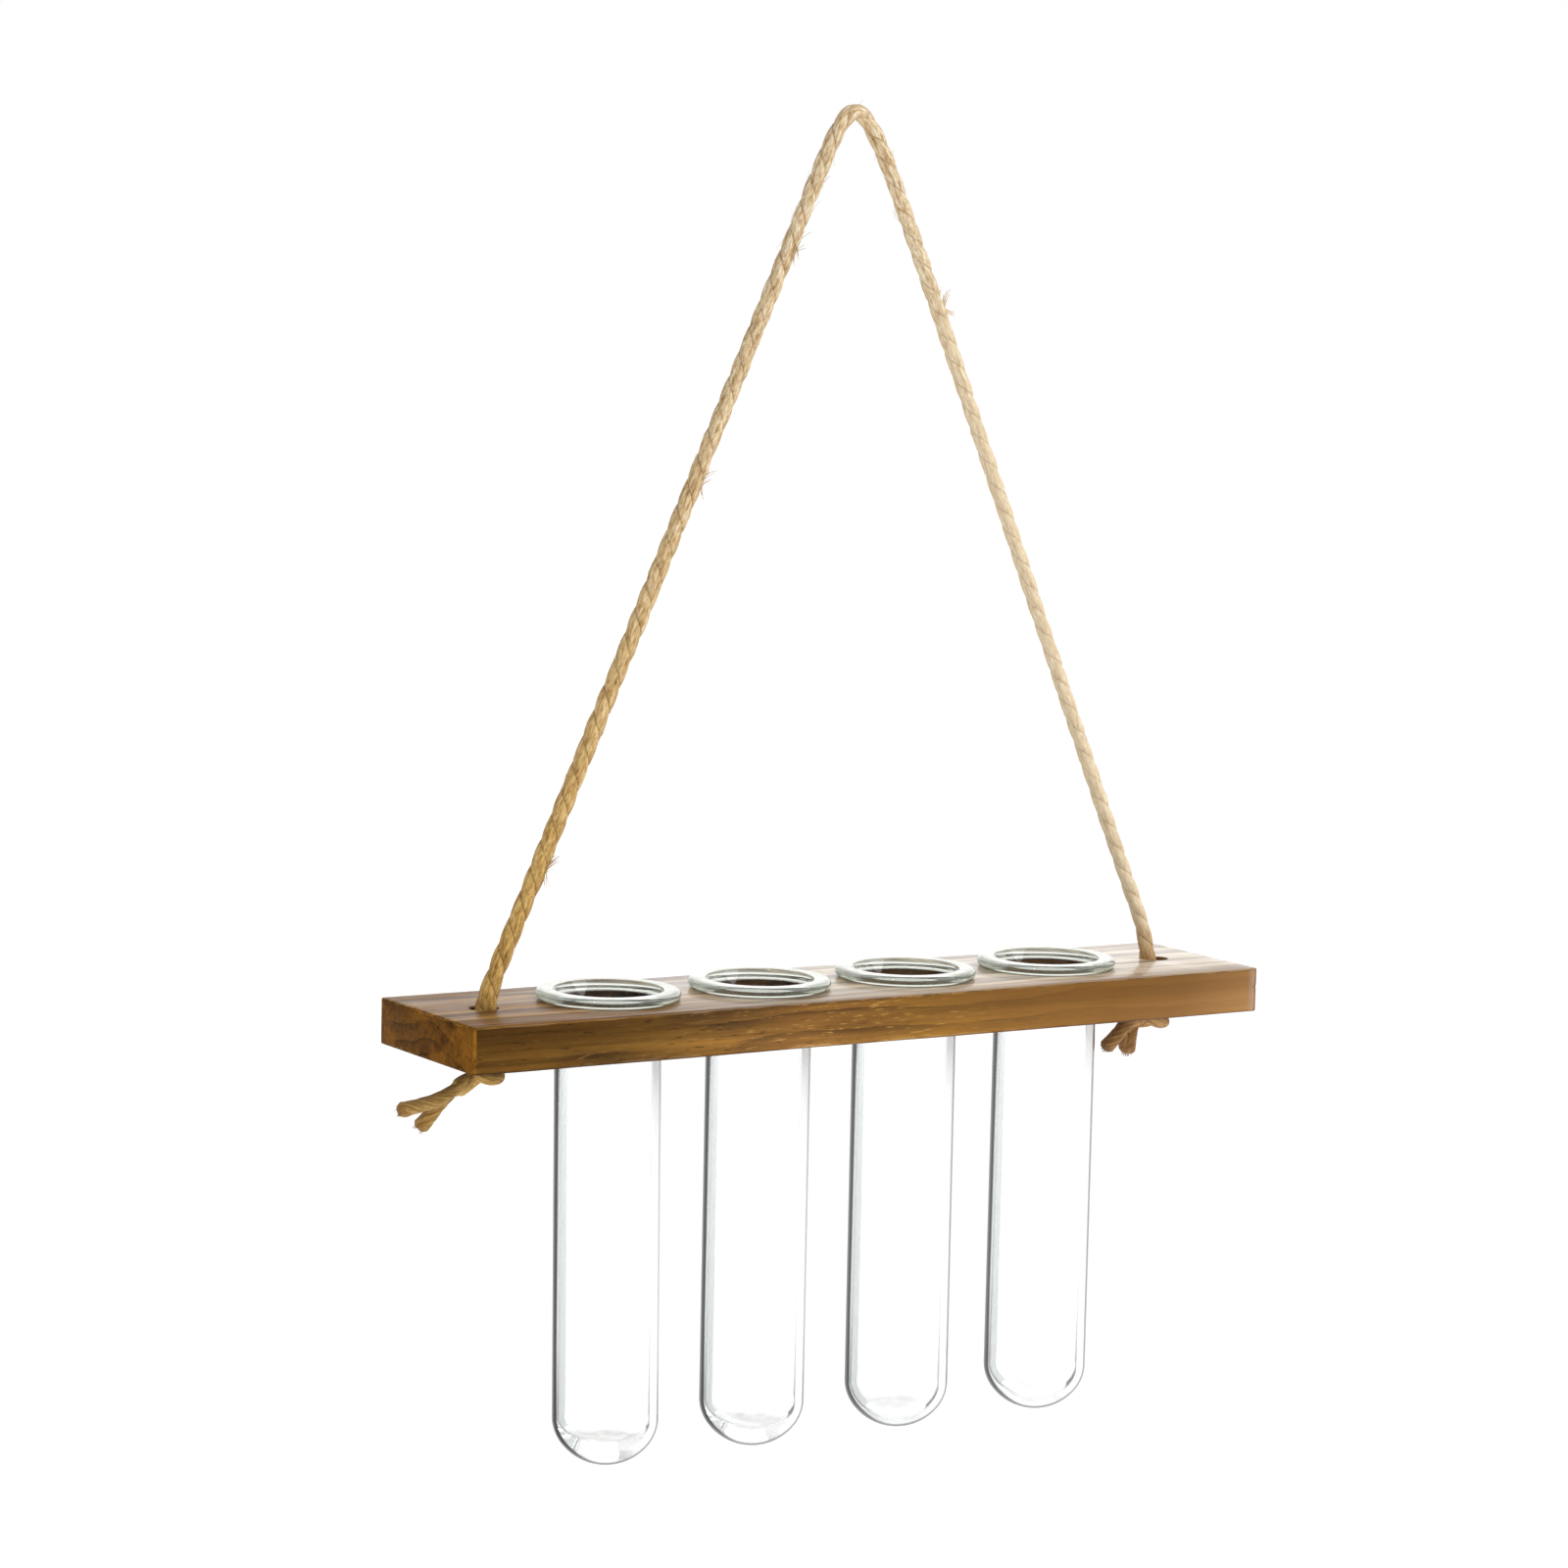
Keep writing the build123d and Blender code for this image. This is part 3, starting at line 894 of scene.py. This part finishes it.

# %% [markdown]
# ## Stained wood: edges and top
# The edges are rubbed pale in places: what is near two faces at once is on an edge. The top is
# paler, partly from weathering and partly as painted sheen, streaked along the grain and darker
# along its front edge. Its left is tanned and painted darker, where less sheen falls, and its
# right is painted bleached by the lamps' sheen. Under the lips, where the tubes keep the light off,
# painted shade keeps it dark, and the same mask darkens the wood round each hole on the underside.

# %% Wood edges and top
RUBBED_WOOD = (0.42, 0.26, 0.12)
# The top's paler colours are partly weathering and partly painted sheen.
WEATHERED_AND_SHEEN_COLOURS = [(0.30, (0.17, 0.105, 0.055)), (0.48, (0.30, 0.205, 0.120)),
                     (0.70, (0.50, 0.380, 0.255))]
TOP_TINTS = [(0.36, (0.42, 0.36, 0.30)), (0.48, (0.92, 0.90, 0.86)), (0.63, (1.75, 1.75, 1.7))]
# The bleached top is painted sheen, and the tanned top is partly painted shade.
PAINTED_SHEEN_TOP, TANNED_AND_SHADED_TOP = (0.70, 0.61, 0.50), (0.82, 0.60, 0.18)
# The colour under the lips is painted shade.
FRONT_STRIP, UNDER_LIP_SHADE = (0.56, 0.44, 0.33), (0.50, 0.44, 0.38)
HALF_PITCH, TUBE_ROW_END = TUBE_PITCH / 2, 96.0 * MM


def depth_in(value, middle, half):
    """How deep a place is inside the bar's two faces across one axis."""
    off = steps.measure("SUBTRACT", value, middle)
    return steps.measure("SUBTRACT", half, steps.measure("ABSOLUTE", off))


depth_x = depth_in(bar_x, 0.0, BAR_LENGTH / 2)
depth_y = depth_in(bar_y, 0.0, BAR_WIDTH / 2)
depth_z = depth_in(bar_z, BAR_MIDDLE, BAR_THICKNESS / 2)
edge_xy = steps.measure("MAXIMUM", depth_x, depth_y)
edge_yz = steps.measure("MAXIMUM", depth_y, depth_z)
edge_xz = steps.measure("MAXIMUM", depth_x, depth_z)
nearest = steps.measure("MINIMUM", edge_xy, steps.measure("MINIMUM", edge_yz, edge_xz))
rub = steps.noise(bar_place, (90, 240, 240), 3, "rubbing")
rubbed = steps.measure("LESS_THAN", nearest, steps.stretch(rub, 0.35, 0.7, 0.1 * MM, 1.0 * MM))

off_tube = steps.measure("WRAP", steps.measure("ADD", bar_x, HALF_PITCH), HALF_PITCH, -HALF_PITCH)
off_axis = steps.measure("SQRT", steps.measure("MULTIPLY_ADD", bar_y, bar_y,
                                               steps.times(off_tube, off_tube)))
in_row = steps.measure("LESS_THAN", steps.measure("ABSOLUTE", bar_x), TUBE_ROW_END)
under_lip = steps.times(steps.stretch(off_axis, 19.9 * MM, 18.7 * MM), in_row)
top_face = steps.stretch(bar_z, BAR_TOP - 0.45 * MM, BAR_TOP - 0.1 * MM, 0.0, 0.6)
open_top = steps.times(top_face, steps.rest(under_lip))
top_right = steps.times(open_top, steps.stretch(bar_x, -0.075, 0.045))
top_left = steps.times(open_top, steps.stretch(bar_x, -0.03, -0.115, 0.0, 1.5))
top_streak = steps.noise(bar_place, (7, 190, 190), 3, "top_streaks", 0.6)
strip = steps.times(steps.stretch(bar_y, -0.014, -0.026),
                    steps.stretch(bar_x, -0.05, 0.05, 0.6, 1.6))
worn_sheen_and_shade = steps.layers(
    grained,
    ("MIX", steps.times(rubbed, 0.4), RUBBED_WOOD),
    ("MIX", open_top, steps.ramp(streak, WEATHERED_AND_SHEEN_COLOURS, "weathered_and_sheen_colours")),
    ("MIX", top_right, PAINTED_SHEEN_TOP),
    ("MULTIPLY", top_left, TANNED_AND_SHADED_TOP),
    ("MULTIPLY", steps.times(open_top, 1.5), steps.ramp(top_streak, TOP_TINTS, "top_tint")),
    ("MULTIPLY", steps.times(open_top, strip), FRONT_STRIP),
    ("MULTIPLY", under_lip, UNDER_LIP_SHADE))
print("wood edges and top:", len(steps.nodes), "nodes")

# %% [markdown]
# ## Stained wood: long sides, ends and lacquer
# Along the sides the stain took up more in some places than in others, and a ramp from one end of
# the bar to the other carries that. Towards the right a rosy stain is mixed in, which also paints
# the brighter light there. The upper left is darker, the lower half lighter and the right end pale.
# The end grain drinks the stain and turns a deeper amber. Painted shade darkens the underside and
# the bottom edge. Satin lacquer covers it all, and it is thinnest at the left.

# %% Wood sides, ends and lacquer
TAKE_UP = [(0.04, (0.40, 0.38, 0.33)), (0.17, (0.52, 0.52, 0.5)), (0.29, (0.85, 0.85, 0.9)),
           (0.42, (1.55, 1.50, 1.4)), (0.54, (1.45, 1.45, 1.1)), (0.66, (1.0, 1.0, 0.85)),
           (0.80, (0.78, 0.78, 0.72)), (0.90, (0.8, 0.84, 1.0)), (0.98, (1.1, 1.25, 1.8))]
# The rosy colour is both stain and painted light.
ROSY_STAIN_AND_LIGHT, LIGHTER_LOW, DARKER_UPPER_LEFT = (0.34, 0.148, 0.032), (1.55, 1.6, 1.75), (0.62, 0.58, 0.52)
# The colour along the bottom edge is painted shade.
PALE_END, END_GRAIN, UNDER_EDGE_SHADE = (0.50, 0.37, 0.30), (0.98, 0.81, 0.26), (0.42, 0.38, 0.36)

end_face = steps.stretch(depth_x, 1.1 * MM, 0.4 * MM)
below_top = steps.stretch(bar_z, BAR_TOP - 0.3 * MM, BAR_TOP - 0.9 * MM)
long_side = steps.times(steps.rest(end_face), below_top)
along_bar = steps.stretch(bar_x, -BAR_LENGTH / 2, BAR_LENGTH / 2, smooth=False)
rosy = steps.stretch(bar_x, -0.02, 0.11, 0.0, 0.7)
low_half = steps.stretch(bar_z, -0.2455, -0.2515, 0.0, 0.55)
upper_left = steps.times(steps.stretch(bar_x, -0.02, -0.10, 0.0, 0.8),
                         steps.stretch(bar_z, -0.2515, -0.2440))
right_end = steps.stretch(bar_x, 0.1262, 0.1292, 0.0, 0.5)
lower_edge = steps.stretch(bar_z, BAR_BOTTOM + 0.7 * MM, BAR_BOTTOM + 0.2 * MM)
stained = steps.layers(
    worn_sheen_and_shade,
    ("MIX", steps.times(rosy, long_side), ROSY_STAIN_AND_LIGHT),
    ("MULTIPLY", long_side, steps.ramp(along_bar, TAKE_UP, "stain_along_bar")),
    ("MULTIPLY", steps.times(low_half, long_side), LIGHTER_LOW),
    ("MULTIPLY", steps.times(upper_left, long_side), DARKER_UPPER_LEFT),
    ("MIX", steps.times(right_end, long_side), PALE_END),
    ("MULTIPLY", end_face, END_GRAIN),
    ("MULTIPLY", lower_edge, UNDER_EDGE_SHADE))

gloss = steps.noise(bar_place, (20, 300, 300), 3, "gloss_streaks")
grain_height = steps.measure("ADD", streak, steps.times(fleck, 0.6))
steps.dress(shader, {"Base Color": stained, "Roughness": steps.stretch(gloss, 0.3, 0.7, 0.38, 0.60),
                     "Specular IOR Level": 0.05, "Coat Roughness": 0.16, "Coat IOR": 1.32,
                     "Coat Weight": steps.stretch(bar_x, -0.115, -0.04, 0.08, 0.5),
                     "Normal": steps.bump(grain_height, 0.35, 0.4 * MM)})
put_on(wood, [bar])

# %% [markdown]
# ## Glass tubes
# Each tube is blown, with a rolled lip that carries it on the bar and a round bottom whose glass
# is thick and a little different in each. A lathe profile gives both walls at once: up the outside,
# over the lip, down the bore and across the thick bottom, spun about the tube's own axis. Blown
# tubes hang a little askew, so all but the last lean a little.

# %% Tubes
TUBE_RADIUS, BORE_RADIUS = 15.0 * MM, 13.5 * MM
TUBE_DROP, FLATNESS = 132.0 * MM, 1.5 * MM
TUBE_LOWEST, TUBE_LIP_TOP = BAR_TOP - TUBE_DROP, BAR_TOP + 3.0 * MM
BASE_GLASS = [3.6 * MM, 3.0 * MM, 1.6 * MM, 2.1 * MM]
LIP_RADIUS, LIP_EDGE, LIP_NECK = 20.25 * MM, 1.4 * MM, 0.6 * MM
MOUTH_FLARE, FLARE_DEPTH, MOUTH_ROUND = 1.9 * MM, 4.0 * MM, 0.5 * MM
SEAT_GAP = 0.15 * MM
LEANS = [1.5 * MM, 0.4 * MM, 0.4 * MM, 0.0]
TO_THE_LEFT = (-0.852, 0.523, 0.0)
TUBE_STEPS = 112
BORE_SLACK, BOTTOM_SHELL = 0.1 * MM, 1.0 * MM


def round_bottom(radius, lowest, flatness):
    """A slightly flattened round bottom, from its lowest point out to the straight wall."""
    height = radius - flatness
    corner = height - flatness
    inset = radius - corner
    crown = (height**2 + inset**2 - corner**2) / (2 * (height - corner))
    lean = math.degrees(math.atan2(height - crown, inset))
    points = [(0.0, lowest)] + arc(0, lowest + crown, crown, -90, lean, 14)
    return points + arc(inset, lowest + height, corner, lean, 0, 16)


def tube_profile(base):
    """The glass of one tube: outside, lip and inside."""
    seat, top = BAR_TOP + SEAT_GAP, TUBE_LIP_TOP
    outside = round_bottom(TUBE_RADIUS, TUBE_LOWEST, FLATNESS)
    inside = round_bottom(BORE_RADIUS, TUBE_LOWEST + base,
                          FLATNESS + base - (TUBE_RADIUS - BORE_RADIUS))
    rim, under = LIP_RADIUS - LIP_EDGE, seat - LIP_NECK
    lip = [(TUBE_RADIUS, under)] + arc(TUBE_RADIUS + LIP_NECK, under, LIP_NECK, 180, 90, 4)
    lip += [(rim, seat)] + arc(rim, seat + LIP_EDGE, LIP_EDGE, -90, 0, 8)
    lip += arc(rim, top - LIP_EDGE, LIP_EDGE, 0, 90, 8)
    mouth = BORE_RADIUS + MOUTH_FLARE + MOUTH_ROUND
    lip += [(mouth, top)] + arc(mouth, top - MOUTH_ROUND, MOUTH_ROUND, 90, 180, 6)
    lip += [(BORE_RADIUS, top - FLARE_DEPTH)]
    return outside + lip + list(reversed(inside))


def on_outside(places, x, base):
    """1 for points on the outside of a tube at x, and 0 for points of its bore."""
    off_axis, z = np.hypot(places[:, 0] - x, places[:, 1]), places[:, 2]
    flare = np.clip((z - TUBE_LIP_TOP + FLARE_DEPTH) / (FLARE_DEPTH - MOUTH_ROUND), 0, 1)
    in_bore = off_axis < BORE_RADIUS + MOUTH_FLARE * flare + BORE_SLACK
    in_bore &= z > TUBE_LOWEST + base - BORE_SLACK
    ball = TUBE_RADIUS - FLATNESS
    from_ball = np.hypot(off_axis, z - TUBE_LOWEST - ball)
    in_bore &= (z >= TUBE_LOWEST + ball) | (from_ball < ball - BOTTOM_SHELL)
    return np.where(in_bore, 0.0, 1.0)


tubes = []
for number, (x, base, lean) in enumerate(zip(TUBE_XS, BASE_GLASS, LEANS), start=1):
    tube = turned(f"glass_tube_{number}", tube_profile(base), x, TUBE_STEPS)
    bpy.ops.object.shade_smooth_by_angle(angle=math.radians(40))
    places = np.array([vertex.co for vertex in tube.data.vertices])
    outer = tube.data.attributes.new("outer", "FLOAT", "POINT")
    outer.data.foreach_set("value", on_outside(places, x, base).astype(np.float32))
    below_seat = np.clip((BAR_TOP - places[:, 2]) / TUBE_DROP, 0, 1)
    places -= np.outer(below_seat * lean, TO_THE_LEFT)
    tube.data.vertices.foreach_set("co", places.reshape(-1).astype(np.float32))
    tube.data.update()
    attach(tube, f"tube_{number}")
    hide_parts(f"test_tube_{number}")
    tubes.append(tube)
print("tubes:", [len(tube.data.polygons) for tube in tubes], "faces")

# %% [markdown]
# ## Clear glass
# The glass is clear soda glass. Seen square on it nearly vanishes. Seen along its wall it shows a
# crisp line, because there it mirrors the room beside it instead of the white behind it. Layer
# Weight finds those places from every side, and less light goes through there. The room is darker
# to the left, so the outside of the glass that faces left gets a darker and wider line. The lamp
# stands to the right, so the wall on that side is bright, with only a thin line at its very edge.

# %% Glass walls
CLEAR_TINT, BORE_LINE = (0.93, 0.965, 0.97), (0.80, 0.82, 0.81)
LEFT_LINE, PALE_RIGHT_LINE, RIGHT_LINE = (0.05, 0.05, 0.047), (0.58, 0.60, 0.59), (0.17, 0.175, 0.17)
LEFT_WIDENING, LOW_WIDENING = 0.13, 0.03

glass, steps, shader = new_material("clear_glass")
outer = steps.attribute("outer", "Fac")
glass_place = steps.place()
glass_x, _, glass_z = steps.axes(glass_place)
leftward = steps.vector("DOT_PRODUCT", steps.place("Normal"), TO_THE_LEFT)
weight = steps.add("ShaderNodeLayerWeight")
steps.dress(weight, {"Blend": 0.5})
facing = weight.outputs["Facing"]

left = steps.times(steps.stretch(leftward, 0.1, 0.85), outer)
along_wall = steps.measure("MULTIPLY_ADD", left, LEFT_WIDENING, facing)
# Lower down the painted lines are wider and darker, and on the tubes to the right the right line is
# darker too.
low_down = steps.stretch(glass_z, -0.335, -0.365)
line = steps.stretch(steps.measure("MULTIPLY_ADD", low_down, LOW_WIDENING, along_wall), 0.67, 0.79)
bore_left = steps.stretch(leftward, -0.1, -0.85)
drawn = steps.times(line, steps.measure("MAXIMUM", bore_left, outer))
right_tint = steps.mix("MIX", steps.stretch(glass_x, -0.06, 0.085), PALE_RIGHT_LINE, RIGHT_LINE)
right_line = steps.mix("MIX", low_down, right_tint, RIGHT_LINE)
outer_line = steps.mix("MIX", left, right_line, LEFT_LINE)
drawn_line = steps.mix("MIX", outer, BORE_LINE, outer_line)
to_lamp = steps.times(steps.stretch(leftward, -0.3, -0.7), outer)
bright_wall = steps.times(to_lamp, steps.stretch(facing, 0.43, 0.49))
bright_colour = steps.mix("MIX", steps.stretch(facing, 0.68, 0.79), WHITE, right_line)
print("glass walls:", len(steps.nodes), "nodes")

# %% [markdown]
# ## Clear glass: bottoms, mouths and lips
# Thick glass shows more of its own colour. The bottoms have faint clouds of painted shade, stronger
# towards the left, the bore is painted with shade just inside the mouth, and the rolled lips are
# painted pale, as light scattered in their thick glass makes them look, with a painted reflection
# line round their edge.

# %% Glass bottoms, mouths and lips
# Both of these colours are painted shade, in the bottoms and in the mouths.
SHADED_BOTTOM, SHADED_MOUTH = (0.42, 0.41, 0.395), (0.50, 0.49, 0.47)
# The lip's pale colour is painted light, and its edge line a painted reflection.
PAINTED_LIT_LIP, LIP_LINE = (0.68, 0.73, 0.63), (0.28, 0.29, 0.27)
HELD_BACK, LIP_HELD, LIP_LINE_HELD = 0.95, 0.12, 0.5

clear = steps.mix("MIX", steps.stretch(along_wall, 0.15, 0.67), WHITE, CLEAR_TINT)
thick = steps.times(outer, steps.stretch(glass_z, -0.3665, -0.3705))
cloud = steps.noise(glass_place, (95, 95, 160), 3, "base_clouds")
patchy = steps.times(steps.stretch(cloud, 0.35, 0.6, 0.35, 1.0),
                     steps.stretch(glass_x, 0.06, -0.07, 0.3, 1.0))
# Painted shade just inside the mouth.
mouth = steps.times(steps.rest(outer),
                    steps.stretch(glass_z, BAR_TOP - 2.0 * MM, BAR_TOP + 0.5 * MM))
lip = steps.times(outer, steps.stretch(glass_z, BAR_TOP - 0.4 * MM, BAR_TOP + 0.2 * MM))
lip_edge = steps.stretch(facing, 0.86, 0.96)
glass_colour = steps.layers(
    clear,
    ("MULTIPLY", steps.times(thick, patchy), SHADED_BOTTOM),
    ("MULTIPLY", mouth, SHADED_MOUTH),
    ("MIX", drawn, drawn_line),
    ("MIX", bright_wall, bright_colour),
    ("MIX", lip, steps.mix("MIX", lip_edge, PAINTED_LIT_LIP, LIP_LINE)))
held_back = steps.times(steps.measure("MAXIMUM", drawn, bright_wall), HELD_BACK)
lip_held = steps.measure("MULTIPLY_ADD", lip_edge, LIP_LINE_HELD, LIP_HELD)
lip_more = steps.times(lip, steps.measure("SUBTRACT", lip_held, held_back))
steps.dress(shader, {"Base Color": glass_colour,
                     "Transmission Weight": steps.rest(steps.measure("ADD", held_back, lip_more)),
                     "Roughness": 0.0, "IOR": 1.5, "Specular IOR Level": 0.12})
put_on(glass, tubes)

# %% [markdown]
# ## Studio
# The background is plain white. A wide pale floor lies well below the hanging vase and keeps its
# shadow, and the world is white to the camera and through glass, while it lights the vase only
# softly. Mirrored in lacquer or glass, both are white behind and dim in front and to the left,
# where the room is. One broad lamp stands to the right, so the left end falls dark, and two
# weaker ones give the lacquer its sheen and the lips their sparkle.

# %% Floor
FLOOR_Z, FLOOR_SIZE = -0.62, 80
FLOOR_GREY, FLOOR_GLOW = (0.88, 0.88, 0.88), 0.32
TO_THE_FRONT = (-0.523, -0.852, 0.0)
FRONT_ROOM, LEFT_ROOM = 0.3, 0.12


def mirrored_room(steps, vector):
    """How bright the surroundings are in a reflection: 1 behind, dim in front and to the left."""
    front = steps.stretch(steps.vector("DOT_PRODUCT", vector, TO_THE_FRONT), -0.1, 0.6)
    left = steps.stretch(steps.vector("DOT_PRODUCT", vector, TO_THE_LEFT), 0.4, 0.9)
    return steps.measure("MINIMUM", steps.measure("MULTIPLY_ADD", front, FRONT_ROOM - 1.0, 1.0),
                         steps.measure("MULTIPLY_ADD", left, LEFT_ROOM - 1.0, 1.0))


bpy.ops.object.select_all(action="DESELECT")
bpy.ops.mesh.primitive_plane_add(size=FLOOR_SIZE, location=(0, 0, FLOOR_Z))
floor = bpy.context.object
floor.name = "studio_floor"
paper, steps, shader = new_material("floor_paper")
room = mirrored_room(steps, steps.vector("NORMALIZE", steps.place()))
ray = steps.add("ShaderNodeLightPath").outputs
in_mirror = steps.times(ray["Is Glossy Ray"], steps.rest(ray["Is Transmission Ray"]))
level = steps.measure("MULTIPLY_ADD", in_mirror, steps.measure("SUBTRACT", room, 1.0), 1.0)
steps.dress(shader, {"Base Color": steps.mix("MIX", level, (0.0, 0.0, 0.0), FLOOR_GREY),
                     "Roughness": 1.0, "Specular IOR Level": 0.0, "Emission Color": WHITE,
                     "Emission Strength": steps.times(level, FLOOR_GLOW)})
put_on(paper, [floor])

# %% World and lamps
AMBIENT = 0.45
# Each lamp's name, the place that it shines from, its power and how wide it is, in degrees.
LAMPS = [("key_lamp", (1.0, -1.2, 1.3), 1.6, 50), ("sheen_lamp", (1.2, 1.4, 0.8), 0.7, 60),
         ("sparkle_lamp", (-0.843, -0.537, 1.15), 0.16, 3)]

world = bpy.data.worlds.new("studio_world")
world.use_nodes = True
scene.world = world
steps = Recipe(world.node_tree)
ray = steps.add("ShaderNodeLightPath").outputs
white = steps.measure("MAXIMUM", ray["Is Camera Ray"], ray["Is Transmission Ray"])
brighter = steps.measure("SUBTRACT", mirrored_room(steps, steps.place("Generated")), AMBIENT)
lit = steps.measure("MULTIPLY_ADD", ray["Is Glossy Ray"], brighter, AMBIENT)
steps.dress(steps.nodes["Background"], {"Color": WHITE,
                                        "Strength": steps.measure("MAXIMUM", white, lit)})

for name, place, power, softness in LAMPS:
    bpy.ops.object.light_add(type="SUN", location=place)
    lamp = bpy.context.object
    lamp.name = name
    lamp.data.energy = power
    lamp.data.angle = math.radians(softness)
    lamp.rotation_euler = (-Vector(place)).to_track_quat("-Z", "Y").to_euler()
print("lamps:", [name for name, *_ in LAMPS])
